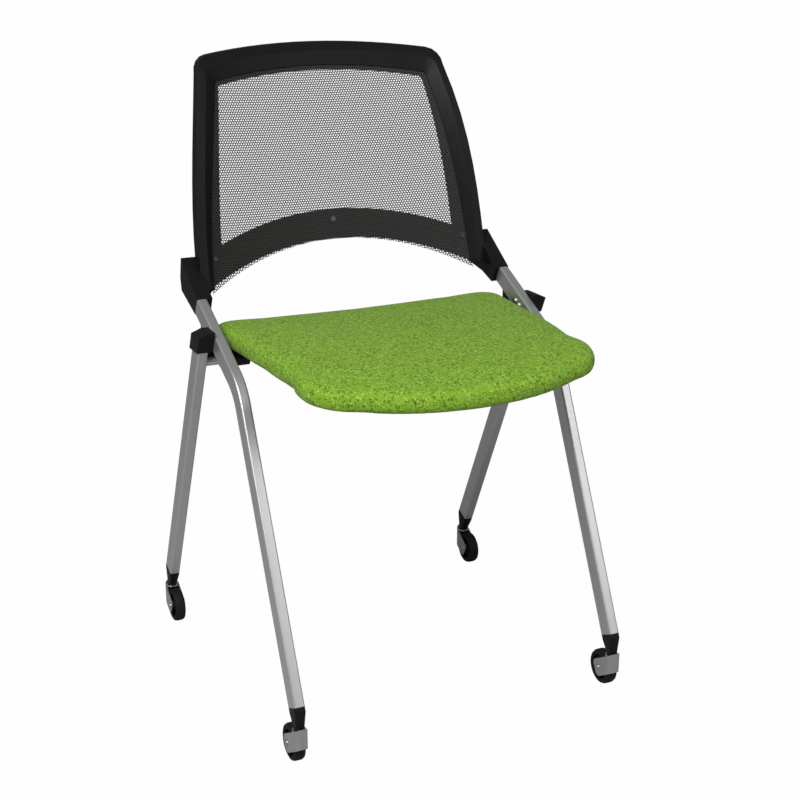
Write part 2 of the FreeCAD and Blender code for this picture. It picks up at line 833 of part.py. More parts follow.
def shell_rows(depth):
    """Section of the shell: inset, inset at the low end and distance ahead of the mesh face."""
    rear = depth + shell_rear_step
    return (
        (shell_lip_inset, shell_lip_low_inset, lip_proud),
        (rim_inset, rim_inset, rim_proud),
        (0.0, 0.0, edge_proud),
        (0.0, 0.0, -depth),
        (shell_rear_inset, shell_rear_inset, -rear),
        (pocket_inset - 1.5, pocket_inset - 1.5, -rear),
        (pocket_inset, pocket_inset, mesh_thickness + mesh_clearance),
        (shell_lip_inset, shell_lip_low_inset, mesh_thickness + mesh_clearance),
    )


def shell_station(part, fraction):
    """Points of the shell's section at one place along side (0), corner (1) or top (2)."""
    share = (0.0, fraction, 1.0)[part]
    depth = shell_side_depth + (shell_top_depth - shell_side_depth) * share
    points = []
    for inset, low_inset, proud in shell_rows(depth):
        arc = outline_arcs(inset, low_inset)[part]
        first = arc.FirstParameter
        flat = arc.value(first + (arc.LastParameter - first) * fraction)
        points.append(V(flat.x, back_face_at(flat.x, flat.z) - proud, flat.z))
    return points


def back_shell():
    """Outer frame, open below: dished front face, rounded wall and a pocket for the carrier."""
    stations = []
    for part, steps in ((0, 8), (1, 4), (2, 7)):
        for k in range(steps):
            stations.append(shell_station(part, k / steps))
    middle = shell_station(2, 1.0)
    left = []
    for points in reversed(stations):
        left.append([mirrored(p) for p in points])
    wires = [polygon(points) for points in stations + [middle] + left]
    return Part.makeLoft(wires, True, True)


def carrier():
    """Inner ring with the curved band below, over which the mesh is stretched."""
    half = back_low_x - carrier_inset
    outer = Part.Wire(outline_edges(carrier_inset) + [arch(half, back_low_z, back_low_z + band_bottom_up)])
    blank = face_slab(0, carrier_thickness).common(through(outer))
    edges = outline_edges(window_inset)
    half = back_low_x - window_inset
    rest = Part.Wire(edges + [Part.LineSegment(V(half, 0, back_low_z),
                                               V(-half, 0, back_low_z)).toShape()])
    window = through(rest)
    sagitta = band_top_up - band_top_end_up
    radius = (half * half + sagitta * sagitta) / (2 * sagitta)
    start = V(0, back_face_y - back_cut_reach, back_low_z + band_top_up - radius)
    below = Part.makeCylinder(radius, 2 * back_cut_reach, start, V(0, 1, 0))
    window = window.cut(below)
    return blank.cut(window)


def back_mesh():
    half = back_low_x - mesh_inset
    edges = outline_edges(mesh_inset)
    low = back_low_z
    wire = Part.Wire(edges + [
        Part.LineSegment(V(half, 0, low), V(half, 0, low - mesh_skirt)).toShape(),
        arch(half, low - mesh_skirt, back_low_z + band_bottom_up - 1.0),
        Part.LineSegment(V(-half, 0, low - mesh_skirt), V(-half, 0, low)).toShape(),
    ])
    return face_slab(mesh_thickness, mesh_thickness).common(through(wire))


def band_screws():
    """Three pan-head screws that hold the carrier: one in the middle, one at each side."""
    solids = []
    side_x = back_low_x - band_screw_side_inset
    side_z = back_low_z + band_screw_side_up
    places = ((-side_x, side_z), (0.0, back_low_z + band_screw_middle_up), (side_x, side_z))
    for x, z in places:
        y = back_face_at(x, z) - mesh_thickness
        normal = V(2 * back_wrap * x, 1, -back_lean)
        normal.normalize()
        centre = V(x, y, z)
        head = Part.makeCylinder(band_screw_diameter / 2, band_screw_height + 1.0,
                                 centre - normal * band_screw_height, normal)
        recess = Part.makeCylinder(band_screw_diameter / 6, band_screw_recess_depth,
                                   centre - normal * (band_screw_height + 0.01), normal)
        shank = Part.makeCylinder(band_screw_diameter / 4,
                                  carrier_thickness + band_screw_past_carrier, centre, normal)
        solids.append(joined([head, shank]).cut(recess))
    return solids


def back_bracket(side, neighbours):
    """Moulded arm from the side tube's end to the back frame's lower end."""
    half_depth = upper_square * (tube_depth / 2)
    top = upper_end - half_depth
    low = upper_end + half_depth
    outer_x = side * tube_outer_x
    inner_x = side * tube_inner_x
    lap_x = side * (back_low_x - back_bracket_lap)
    ear = prism([
        V(outer_x, top.y, top.z),
        V(outer_x, upper_end.y + ear_top_behind, back_low_z + ear_top_up),
        V(outer_x, upper_end.y + ear_rear_behind, back_low_z + ear_rear_high_up),
        V(outer_x, upper_end.y + ear_rear_behind - ear_low_step, back_low_z + ear_rear_low_up),
        V(outer_x, low.y, low.z),
    ], V(lap_x - outer_x, 0, 0))
    face_y = back_face_at(back_low_x, back_low_z)
    lip_x = side * (back_low_x - shell_lip_low_inset)
    lip_y = back_face_at(back_low_x - shell_lip_low_inset, back_low_z)
    head_z = back_low_z + back_bracket_head_up
    foot = polygon([
        V(outer_x, top.y, top.z), V(outer_x, low.y, low.z),
        V(inner_x, low.y, low.z), V(inner_x, top.y, top.z),
    ])
    head = polygon([
        V(outer_x, face_y - edge_proud, head_z),
        V(outer_x, face_y + shell_side_depth + shell_rear_step, head_z),
        V(lip_x, lip_y + shell_side_depth, head_z),
        V(lip_x, lip_y - lip_proud, head_z),
    ])
    gusset = Part.makeLoft([foot, head], True, True)
    shrink = tube_wall + fit_clearance
    start = upper_end + upper_direction + V(side * front_tube_x, 0, 0)
    section = rounded_section(start, ACROSS, upper_square, tube_width - 2 * shrink,
                              tube_depth - 2 * shrink, tube_edge_radius - tube_wall)
    tongue = Part.Face(section).extrude(upper_direction * -(back_bracket_tongue + 1))
    whole = joined([ear, gusset, tongue])
    for other in neighbours:
        whole = whole.cut(other)
    solids = sorted(whole.Solids, key=lambda s: s.Volume)
    return solids[-1]


def bracket_screws(side):
    """Screws up through the seat bracket's base into the seat board."""
    solids = []
    near_x = bracket_inner_x + bracket_screw_edge
    for x in (near_x, near_x + bracket_screw_pitch):
        for y in (rod_point.y - bracket_screw_ahead, rod_point.y + bracket_screw_behind):
            start = V(side * x, y, base_bottom_z)
            head = cylinder(start - V(0, 0, screw_head_height), V(0, 0, 1),
                            bracket_screw_diameter * screw_head_ratio, screw_head_height)
            shank = cylinder(start, V(0, 0, 1), bracket_screw_diameter,
                             bracket_base_thickness + pan_thickness + bracket_screw_bite)
            solids.append(joined([head, shank]))
    return solids


def build_frame():
    bolts = []
    nuts = []
    for name, side in SIDES:
        add("front_tube_" + name, front_tube(side))
        add("rear_leg_" + name, rear_leg(side))
        add("joint_housing_" + name, joint_housing(side))
        bolts += joint_bolts(side)
        nuts += joint_nuts(side)
    add("joint_bolts", Part.makeCompound(bolts))
    add("joint_nuts", Part.makeCompound(nuts))
    add("pivot_rod", pivot_rod())


def build_back():
    shell = back_shell()
    ring = carrier()
    net = back_mesh()
    screws = band_screws()
    for screw in screws:
        ring = ring.cut(screw)
        net = net.cut(screw)
    add("back_shell", shell)
    add("back_carrier", ring)
    add("back_mesh", net)
    add("band_screws", Part.makeCompound(screws))
    for name, side in SIDES:
        add("back_bracket_" + name, back_bracket(side, (shell, ring, net)))


def build_seat():
    cushion = seat_cushion()
    board = seat_board()
    pan = seat_pan()
    screws = []
    pads = []
    for name, side in SIDES:
        screws += bracket_screws(side)
        pads.append(stop_pad(side))
        add("seat_bracket_" + name, seat_bracket(side))
        add("seat_bush_" + name, seat_bush(side))
    for screw in screws:
        pan = pan.cut(screw)
        board = board.cut(screw)
        for name, side in SIDES:
            key = "seat_bracket_" + name
            pieces[key] = pieces[key].cut(screw)
    add("seat_cushion", cushion)
    add("seat_board", board)
    add("seat_pan", pan)
    add("bracket_screws", Part.makeCompound(screws))
    add("stop_pads", Part.makeCompound(pads))


def build_castors():
    for name, axis_point, trail, end in castor_places():
        add("leg_plug_" + name, leg_plug(axis_point, end))
        add("castor_fork_" + name, castor_fork(axis_point, trail))
        add("castor_stem_" + name, castor_stem(axis_point))
        add("castor_axle_" + name, castor_axle(axis_point, trail))
        add("wheel_core_" + name, wheel_core(axis_point, trail))
        add("wheel_tread_" + name, wheel_tread(axis_point, trail))


def main():
    build_frame()
    build_back()
    build_seat()
    build_castors()
    os.makedirs("parts", exist_ok=True)
    for name, shape in pieces.items():
        shape.exportStep("parts/" + name + ".step")
        print(name, len(shape.Solids), round(shape.Volume), shape.isValid())


main()
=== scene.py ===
"""Looks of a nesting chair: painted tubes, moulded joints, netted back, woven seat and castors."""

import math

import bmesh
import bpy
from bpy.props import FloatProperty, FloatVectorProperty, IntProperty, PointerProperty
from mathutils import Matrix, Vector


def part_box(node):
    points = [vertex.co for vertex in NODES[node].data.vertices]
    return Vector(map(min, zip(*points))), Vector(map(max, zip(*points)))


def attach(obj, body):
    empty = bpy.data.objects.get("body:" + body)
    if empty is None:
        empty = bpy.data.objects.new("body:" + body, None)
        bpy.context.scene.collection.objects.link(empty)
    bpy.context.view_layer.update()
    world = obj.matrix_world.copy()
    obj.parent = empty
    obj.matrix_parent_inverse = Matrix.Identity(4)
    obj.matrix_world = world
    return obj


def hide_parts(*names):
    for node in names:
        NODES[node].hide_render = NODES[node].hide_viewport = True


bl_info = {
    "name": "Nesting chair",
    "version": (1, 0, 0),
    "blender": (4, 5, 0),
    "location": "3D View > Sidebar > Chair",
    "description": "Builds the visible pieces and finishes of a nesting chair on castors",
    "category": "Object",
}

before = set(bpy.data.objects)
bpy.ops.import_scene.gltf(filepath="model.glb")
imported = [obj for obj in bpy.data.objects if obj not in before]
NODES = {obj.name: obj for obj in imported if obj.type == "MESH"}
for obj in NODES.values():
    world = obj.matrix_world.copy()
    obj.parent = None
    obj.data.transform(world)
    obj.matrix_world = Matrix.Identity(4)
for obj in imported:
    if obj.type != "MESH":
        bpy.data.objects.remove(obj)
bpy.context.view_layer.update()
CORNERS = ("front_left", "front_right", "rear_left", "rear_right")
SIDES = ("left", "right")

# Rounding of each moulding, as a multiple of the general moulding round
HOUSING_ROUND = 2.4
BACK_BRACKET_ROUND = 1.8
SEAT_BRACKET_ROUND = 0.6
PLUG_ROUND = 0.5
SCREW_ROUND = 0.5

# Angles above which an edge is rounded or stays sharp
EDGE_TURN = math.radians(28.0)
FRAME_EDGE_TURN = math.radians(20.0)
TREAD_EDGE_TURN = math.radians(15.0)
FLAT_TURN = math.radians(1.0)
SHARP_TURN = math.radians(40.0)
SOFT_SHARP_TURN = math.radians(60.0)
MERGE_DISTANCE = 1e-5

# Faces of the net whose normal leans back past this are its inside and are left out
NET_FRONT_FACING = -0.5

# Weave: share of the crossing threads in the height, slip between columns, blend of the sides
RIDGE_SHARE = 0.7
OVER_SHARE = 0.3
COLUMN_SLIP = 0.37
SIDE_BLEND = 6.0
FLECK_RUNS = ((1.0, 2.0), (2.0, 1.0), (1.0, 1.0))

# Tones of the cloth: places on its colour ramp, the painted shade that darkens the gaps between
# threads, and the painted light on the thread tops
DARK_FLECK = 0.24
MEAN_FLECKS = (0.40, 0.62)
LIGHT_FLECK = 0.78
GAP_HEIGHT = 0.36
GAP_PAINTED_SHADE = 0.42
THREAD_TOP_PAINTED_LIGHT = 1.08

# Inflation of the pad
AIR_PRESSURE = 4.0
COVER_STIFFNESS = 25.0
CLOTH_QUALITY = 5
CLOTH_FRAMES = 20

# Places along the pad, from its front edge, where its shaping starts and how far it eases in
REAR_DIP_START = 0.5
REAR_DIP_EASE = 0.5
FRONT_ROLL_REACH = 0.22
SIDE_SWELL_START = 0.2
SIDE_SWELL_EASE = 0.3

# Studio
FLOOR_SIZE = 40.0
KEY_PLACE = (-1.8, -1.6, 2.8)
KEY_SIZE = 2.0
FILL_PLACE = (1.4, -2.4, 1.8)
FILL_SIZE = 1.6
LAMP_AIM = (0.0, 0.0, 0.45)
SENSOR_WIDTH = 36.0
CAMERA_REACH = 200.0
WHITE = (1.0, 1.0, 1.0, 1.0)


# Sizes and colours that a user may change

class ChairSizes(bpy.types.PropertyGroup):
    moulding_round: FloatProperty(
        name="Moulding round", description="Edge radius of the black mouldings",
        default=0.0016, min=0.0, unit="LENGTH")
    frame_round: FloatProperty(
        name="Back frame round", description="Edge radius of the back's outer frame",
        default=0.0028, min=0.0, unit="LENGTH")
    metal_round: FloatProperty(
        name="Metal round", description="Edge radius of forks and other metal parts",
        default=0.0006, min=0.0, unit="LENGTH")
    round_steps: IntProperty(
        name="Round steps", description="Segments in a rounded edge", default=3, min=1)
    net_pitch: FloatProperty(
        name="Net pitch", description="Distance between neighbouring holes of the net",
        default=0.0039, unit="LENGTH")
    net_hole: FloatProperty(
        name="Net hole", description="Hole radius as a share of the pitch",
        default=0.325, subtype="FACTOR")
    net_lean: FloatProperty(
        name="Net lean", description="Mean lean of the back", default=math.radians(16.0),
        unit="ROTATION")
    thread_pitch: FloatProperty(
        name="Thread pitch", description="Distance between threads of the seat's cloth",
        default=0.0017, unit="LENGTH")
    cushion_voxel: FloatProperty(
        name="Cushion voxel", description="Mesh size of the cushion before it is inflated",
        default=0.005, unit="LENGTH")
    cushion_swell: FloatProperty(
        name="Cushion swell", description="Furthest that the cover may bulge",
        default=0.0012, unit="LENGTH")
    cushion_shrink: FloatProperty(
        name="Cushion shrink", description="How far the pad is drawn in before it is inflated",
        default=0.0005, unit="LENGTH")
    rear_dip: FloatProperty(
        name="Rear dip", description="How far the rear middle of the seat lies below its corners",
        default=0.0045, unit="LENGTH")
    front_roll: FloatProperty(
        name="Front roll", description="How far the front of the pad rolls down",
        default=0.0045, unit="LENGTH")
    side_swell: FloatProperty(
        name="Side swell", description="How far the pad's sides bulge in the middle",
        default=0.0035, unit="LENGTH")


class ChairColours(bpy.types.PropertyGroup):
    tube: FloatVectorProperty(
        name="Tubes", description="Silver paint of the tubes", subtype="COLOR",
        default=(0.56, 0.56, 0.57))
    steel: FloatVectorProperty(
        name="Forks", description="Satin metal of the castor forks", subtype="COLOR",
        default=(0.52, 0.52, 0.53))
    plastic: FloatVectorProperty(
        name="Mouldings", description="Black moulded plastic", subtype="COLOR",
        default=(0.006, 0.006, 0.0062))
    rubber: FloatVectorProperty(
        name="Wheels", description="Black wheel treads", subtype="COLOR",
        default=(0.008, 0.008, 0.009))
    cloth: FloatVectorProperty(
        name="Seat cloth", description="Mean colour of the seat's cloth", subtype="COLOR",
        default=(0.225, 0.420, 0.030))
    cloth_light: FloatVectorProperty(
        name="Light threads", description="Colour of the lighter threads", subtype="COLOR",
        default=(0.370, 0.600, 0.075))
    cloth_dark: FloatVectorProperty(
        name="Dark threads", description="Colour of the darker threads", subtype="COLOR",
        default=(0.085, 0.190, 0.008))
    net: FloatVectorProperty(
        name="Net", description="Threads of the back's net", subtype="COLOR",
        default=(0.019, 0.018, 0.017))
    board: FloatVectorProperty(
        name="Seat board", description="Plywood under the pad", subtype="COLOR",
        default=(0.40, 0.27, 0.15))
    bush: FloatVectorProperty(
        name="Bushes", description="Pale plastic of the pivot bushes", subtype="COLOR",
        default=(0.55, 0.54, 0.50))
    backdrop: FloatVectorProperty(
        name="Backdrop", description="Floor and backdrop", subtype="COLOR",
        default=(0.40, 0.40, 0.40))


class ChairStudio(bpy.types.PropertyGroup):
    camera_place: FloatVectorProperty(
        name="Camera place", description="Where the camera stands", subtype="TRANSLATION",
        unit="LENGTH", default=(-0.81620, -1.76192, 1.02659))
    camera_azimuth: FloatProperty(
        name="Camera azimuth", description="Turn of the view from straight ahead",
        default=math.radians(-25.2968), unit="ROTATION")
    camera_elevation: FloatProperty(
        name="Camera elevation", description="Height of the view above level",
        default=math.radians(18.0442), unit="ROTATION")
    camera_lens: FloatProperty(
        name="Camera lens", description="Focal length for a 36 mm sensor, in millimetres",
        default=65.04)
    key_power: FloatProperty(
        name="Key light", description="Power of the large lamp at the front left, in watts",
        default=120.0)
    fill_power: FloatProperty(
        name="Fill light", description="Power of the lamp at the front right, in watts",
        default=21.0)
    sky_strength: FloatProperty(
        name="Surrounding light", description="Strength of the even light all round",
        default=0.20)
    floor_glow: FloatProperty(
        name="Floor whiteness", description="Share of plain white in what the camera sees of the floor",
        default=0.985, subtype="FACTOR")


def sizes():
    return bpy.context.scene.chair_sizes


def colours():
    return bpy.context.scene.chair_colours


def studio():
    return bpy.context.scene.chair_studio


# Node helpers

def add_node(tree, kind, values=None, **settings):
    """New node with its settings and the plain values of its input sockets."""
    node = tree.nodes.new(kind)
    for name, value in settings.items():
        setattr(node, name, value)
    for key, value in (values or {}).items():
        node.inputs[key].default_value = value
    return node


def math_node(tree, operation, first, second=None, third=None):
    """Math node whose inputs are sockets or numbers; returns its output socket."""
    node = add_node(tree, "ShaderNodeMath", operation=operation)
    for place, value in enumerate((first, second, third)):
        if value is None:
            continue
        if isinstance(value, (int, float)):
            node.inputs[place].default_value = value
        else:
            tree.links.new(value, node.inputs[place])
    return node.outputs[0]


def mixed_colour(tree, share, first, second):
    """Colour mix of two sockets or plain colours."""
    node = add_node(tree, "ShaderNodeMix", data_type="RGBA")
    tree.links.new(share, node.inputs["Factor"])
    for place, value in ((6, first), (7, second)):
        if isinstance(value, bpy.types.NodeSocket):
            tree.links.new(value, node.inputs[place])
        else:
            node.inputs[place].default_value = (*value, 1.0)
    return node.outputs[2]


def new_group(name, inputs, outputs):
    """Empty shader group with named sockets: inputs as (name, kind, default)."""
    group = bpy.data.node_groups.new(name, "ShaderNodeTree")
    for socket_name, kind, default in inputs:
        socket = group.interface.new_socket(socket_name, in_out="INPUT", socket_type=kind)
        if default is not None:
            socket.default_value = default
    for socket_name, kind in outputs:
        group.interface.new_socket(socket_name, in_out="OUTPUT", socket_type=kind)
    entry = group.nodes.new("NodeGroupInput")
    leave = group.nodes.new("NodeGroupOutput")
    return group, entry, leave


def place_group(tree, group, vector, **values):
    """Puts a shared group into a material, fed with a vector and its own values."""
    node = add_node(tree, "ShaderNodeGroup", node_tree=group)
    tree.links.new(vector, node.inputs["Vector"])
    for name, value in values.items():
        node.inputs[name.replace("_", " ").capitalize()].default_value = value
    return node


# Shared effects

def grain_group():
    """Fine moulded or sprayed grain, with broad soft unevenness."""
    group, entry, leave = new_group(
        "surface grain",
        [("Vector", "NodeSocketVector", None), ("Grain", "NodeSocketFloat", 0.001),
         ("Patches", "NodeSocketFloat", 0.06)],
        [("Height", "NodeSocketFloat"), ("Patch", "NodeSocketFloat")])
    fine = add_node(group, "ShaderNodeTexNoise", {"Detail": 2.0, "Roughness": 0.6})
    broad = add_node(group, "ShaderNodeTexNoise", {"Detail": 3.0, "Roughness": 0.5})
    for noise, name in ((fine, "Grain"), (broad, "Patches")):
        group.links.new(entry.outputs["Vector"], noise.inputs["Vector"])
        scale = math_node(group, "DIVIDE", 1.0, entry.outputs[name])
        group.links.new(scale, noise.inputs["Scale"])
    group.links.new(fine.outputs["Fac"], leave.inputs["Height"])
    group.links.new(broad.outputs["Fac"], leave.inputs["Patch"])
    return group


def thread_plane_group():
    """Plain weave on one plane: thread height and random lighter or darker threads."""
    group, entry, leave = new_group(
        "thread plane",
        [("Vector", "NodeSocketVector", None), ("Pitch", "NodeSocketFloat", 0.0013)],
        [("Height", "NodeSocketFloat"), ("Fleck", "NodeSocketFloat")])
    parts = add_node(group, "ShaderNodeSeparateXYZ")
    group.links.new(entry.outputs["Vector"], parts.inputs[0])
    u = math_node(group, "DIVIDE", parts.outputs[0], entry.outputs["Pitch"])
    v = math_node(group, "DIVIDE", parts.outputs[1], entry.outputs["Pitch"])
    wave_u = math_node(group, "SINE", math_node(group, "MULTIPLY", u, math.pi))
    wave_v = math_node(group, "SINE", math_node(group, "MULTIPLY", v, math.pi))
    over = math_node(group, "MULTIPLY", wave_u, wave_v)
    ridge_u = math_node(group, "ABSOLUTE", wave_u)
    ridge_v = math_node(group, "ABSOLUTE", wave_v)
    ridges = math_node(group, "MULTIPLY", ridge_u, ridge_v)
    height = math_node(group, "MULTIPLY_ADD", ridges, RIDGE_SHARE,
                       math_node(group, "MULTIPLY", over, OVER_SHARE))
    flecks = []
    for along_u, along_v in FLECK_RUNS:
        column = math_node(group, "FLOOR", math_node(group, "DIVIDE", u, along_u))
        shifted = math_node(group, "MULTIPLY_ADD", column, COLUMN_SLIP, v)
        row = math_node(group, "FLOOR", math_node(group, "DIVIDE", shifted, along_v))
        cell = add_node(group, "ShaderNodeCombineXYZ", {"Z": along_u})
        group.links.new(column, cell.inputs["X"])
        group.links.new(row, cell.inputs["Y"])
        chance = add_node(group, "ShaderNodeTexWhiteNoise", noise_dimensions="3D")
        group.links.new(cell.outputs[0], chance.inputs["Vector"])
        flecks.append(chance.outputs["Value"])
    total = math_node(group, "ADD", math_node(group, "ADD", flecks[0], flecks[1]), flecks[2])
    group.links.new(height, leave.inputs["Height"])
    group.links.new(math_node(group, "DIVIDE", total, float(len(FLECK_RUNS))), leave.inputs["Fleck"])
    return group


def cloth_group(plane_group):
    """The weave laid on a solid from its three sides, blended by where the surface faces."""
    group, entry, leave = new_group(
        "woven cloth",
        [("Vector", "NodeSocketVector", None), ("Facing", "NodeSocketVector", None),
         ("Pitch", "NodeSocketFloat", 0.0013)],
        [("Height", "NodeSocketFloat"), ("Fleck", "NodeSocketFloat")])
    place = add_node(group, "ShaderNodeSeparateXYZ")
    facing = add_node(group, "ShaderNodeSeparateXYZ")
    group.links.new(entry.outputs["Vector"], place.inputs[0])
    group.links.new(entry.outputs["Facing"], facing.inputs[0])
    shares = []
    for axis in range(3):
        size = math_node(group, "ABSOLUTE", facing.outputs[axis])
        shares.append(math_node(group, "POWER", size, SIDE_BLEND))
    whole = math_node(group, "ADD", math_node(group, "ADD", shares[0], shares[1]), shares[2])
    sums = {"Height": 0.0, "Fleck": 0.0}
    for axis, (first, second) in enumerate(((1, 2), (0, 2), (0, 1))):
        flat = add_node(group, "ShaderNodeCombineXYZ")
        group.links.new(place.outputs[first], flat.inputs["X"])
        group.links.new(place.outputs[second], flat.inputs["Y"])
        plane = add_node(group, "ShaderNodeGroup", node_tree=plane_group)
        group.links.new(flat.outputs[0], plane.inputs["Vector"])
        group.links.new(entry.outputs["Pitch"], plane.inputs["Pitch"])
        share = math_node(group, "DIVIDE", shares[axis], whole)
        for name in sums:
            part = math_node(group, "MULTIPLY", plane.outputs[name], share)
            sums[name] = math_node(group, "ADD", part, sums[name])
    for name, socket in sums.items():
        group.links.new(socket, leave.inputs[name])
    return group


def net_group():
    """Rows of staggered round holes: a mask of the threads and their rounded height."""
    group, entry, leave = new_group(
        "knitted net",
        [("Vector", "NodeSocketVector", None), ("Pitch", "NodeSocketFloat", 0.0028),
         ("Hole", "NodeSocketFloat", 0.36)],
        [("Thread", "NodeSocketFloat"), ("Height", "NodeSocketFloat")])
    parts = add_node(group, "ShaderNodeSeparateXYZ")
    group.links.new(entry.outputs["Vector"], parts.inputs[0])
    row_pitch = math.sqrt(3.0)
    nearest = None
    for shift in (0.0, 0.5):
        squares = []
        for axis, period in ((0, 1.0), (1, row_pitch)):
            place = math_node(group, "DIVIDE", parts.outputs[axis], entry.outputs["Pitch"])
            place = math_node(group, "ADD", place, shift * period)
            place = math_node(group, "DIVIDE", place, period)
            inside = math_node(group, "SUBTRACT", place, math_node(group, "ROUND", place))
            offset = math_node(group, "MULTIPLY", inside, period)
            squares.append(math_node(group, "POWER", offset, 2.0))
        distance = math_node(group, "SQRT", math_node(group, "ADD", squares[0], squares[1]))
        nearest = distance if nearest is None else math_node(group, "MINIMUM", nearest, distance)
    thread = math_node(group, "GREATER_THAN", nearest, entry.outputs["Hole"])
    height = math_node(group, "SUBTRACT", nearest, entry.outputs["Hole"])
    group.links.new(thread, leave.inputs["Thread"])
    group.links.new(height, leave.inputs["Height"])
    return group


GROUPS = {}


def shared_groups():
    if not GROUPS:
        GROUPS["grain"] = grain_group()
        GROUPS["cloth"] = cloth_group(thread_plane_group())
        GROUPS["net"] = net_group()
    return GROUPS


# Materials

def new_material(name, roughness, metallic=0.0):
    """Material with its shader and the object's own coordinates."""
    material = bpy.data.materials.new(name)
    material.use_nodes = True
    tree = material.node_tree
    shader = tree.nodes["Principled BSDF"]
    shader.inputs["Roughness"].default_value = roughness
    shader.inputs["Metallic"].default_value = metallic
    place = add_node(tree, "ShaderNodeTexCoord")
    return material, tree, shader, place.outputs["Object"]


def grained_finish(name, colour, roughness, metallic=0.0, grain=0.0009, depth=0.00004,
                   patch_amount=0.12, rough_amount=0.12, specular=0.16):
    """Finish with a fine grain in its bump and soft patches in colour and gloss."""
    material, tree, shader, place = new_material(name, roughness, metallic)
    shader.inputs["Specular IOR Level"].default_value = specular
    effect = place_group(tree, shared_groups()["grain"], place, grain=grain)
    darker = tuple(c * (1.0 - patch_amount) for c in colour)
    lighter = tuple(min(1.0, c * (1.0 + patch_amount)) for c in colour)
    shade = mixed_colour(tree, effect.outputs["Patch"], darker, lighter)
    tree.links.new(shade, shader.inputs["Base Color"])
    gloss = math_node(tree, "MULTIPLY_ADD", effect.outputs["Patch"], rough_amount,
                      roughness - rough_amount / 2)
    tree.links.new(gloss, shader.inputs["Roughness"])
    bump = add_node(tree, "ShaderNodeBump", {"Strength": 1.0, "Distance": depth})
    tree.links.new(effect.outputs["Height"], bump.inputs["Height"])
    tree.links.new(bump.outputs["Normal"], shader.inputs["Normal"])
    return material


def brushed_finish(name, colour, roughness):
    """Satin metal with fine lines along its length."""
    material, tree, shader, place = new_material(name, roughness, 1.0)
    stretch = add_node(tree, "ShaderNodeMapping", {"Scale": (1.0, 1.0, 0.06)})
    tree.links.new(place, stretch.inputs["Vector"])
    effect = place_group(tree, shared_groups()["grain"], stretch.outputs[0], grain=0.0007,
                         patches=0.004)
    darker = tuple(c * 0.86 for c in colour)
    lighter = tuple(min(1.0, c * 1.12) for c in colour)
    shade = mixed_colour(tree, effect.outputs["Patch"], darker, lighter)
    tree.links.new(shade, shader.inputs["Base Color"])
    gloss = math_node(tree, "MULTIPLY_ADD", effect.outputs["Height"], 0.14, roughness - 0.07)
    tree.links.new(gloss, shader.inputs["Roughness"])
    bump = add_node(tree, "ShaderNodeBump", {"Strength": 0.6, "Distance": 0.00002})
    tree.links.new(effect.outputs["Height"], bump.inputs["Height"])
    tree.links.new(bump.outputs["Normal"], shader.inputs["Normal"])
    return material


def cloth_finish():
    """Green woven cloth with lighter and darker threads, painted shade in the gaps between threads and
    painted light on their tops.
    """
    material, tree, shader, place = new_material("seat cloth", 0.92)
    shader.inputs["Sheen Weight"].default_value = 0.05
    shader.inputs["Sheen Roughness"].default_value = 0.5
    shader.inputs["Specular IOR Level"].default_value = 0.2
    facing = add_node(tree, "ShaderNodeTexCoord")
    effect = place_group(tree, shared_groups()["cloth"], place, pitch=sizes().thread_pitch)
    tree.links.new(facing.outputs["Normal"], effect.inputs["Facing"])
    ramp = add_node(tree, "ShaderNodeValToRGB")
    ramp.color_ramp.elements[0].position = DARK_FLECK
    ramp.color_ramp.elements[0].color = (*colours().cloth_dark, 1.0)
    ramp.color_ramp.elements[1].position = LIGHT_FLECK
    ramp.color_ramp.elements[1].color = (*colours().cloth_light, 1.0)
    for position in MEAN_FLECKS:
        stop = ramp.color_ramp.elements.new(position)
        stop.color = (*colours().cloth, 1.0)
    tree.links.new(effect.outputs["Fleck"], ramp.inputs["Fac"])
    # Painted shade and light: the cloth's colour is darkened in the gaps between threads and lightened
    # on the thread tops, following thread height
    painted_weave_shading = add_node(tree, "ShaderNodeMapRange", {"From Min": 0.0, "From Max": GAP_HEIGHT,
                                                   "To Min": GAP_PAINTED_SHADE, "To Max": THREAD_TOP_PAINTED_LIGHT})
    tree.links.new(effect.outputs["Height"], painted_weave_shading.inputs["Value"])
    cloth_with_painted_shading = add_node(tree, "ShaderNodeVectorMath", operation="SCALE")
    tree.links.new(ramp.outputs["Color"], cloth_with_painted_shading.inputs[0])
    tree.links.new(painted_weave_shading.outputs["Result"], cloth_with_painted_shading.inputs["Scale"])
    tree.links.new(cloth_with_painted_shading.outputs[0], shader.inputs["Base Color"])
    bump = add_node(tree, "ShaderNodeBump", {"Strength": 0.7, "Distance": 0.0004})
    tree.links.new(effect.outputs["Height"], bump.inputs["Height"])
    tree.links.new(bump.outputs["Normal"], shader.inputs["Normal"])
    return material


def net_finish():
    """Black knitted net with open holes."""
    material, tree, shader, place = new_material("back net", 0.75)
    lean = add_node(tree, "ShaderNodeMapping")
    lean.inputs["Rotation"].default_value = (-math.pi / 2 + sizes().net_lean, 0.0, 0.0)
    tree.links.new(place, lean.inputs["Vector"])
    effect = place_group(tree, shared_groups()["net"], lean.outputs[0],
                         pitch=sizes().net_pitch, hole=sizes().net_hole)
    tree.links.new(effect.outputs["Thread"], shader.inputs["Alpha"])
    soft = place_group(tree, shared_groups()["grain"], place, grain=0.0006)
    darker = tuple(c * 0.7 for c in colours().net)
    lighter = tuple(c * 1.4 for c in colours().net)
    tree.links.new(mixed_colour(tree, soft.outputs["Height"], darker, lighter),
                   shader.inputs["Base Color"])
    bump = add_node(tree, "ShaderNodeBump", {"Strength": 0.6, "Distance": 0.0004})
    tree.links.new(effect.outputs["Height"], bump.inputs["Height"])
    tree.links.new(bump.outputs["Normal"], shader.inputs["Normal"])
    return material


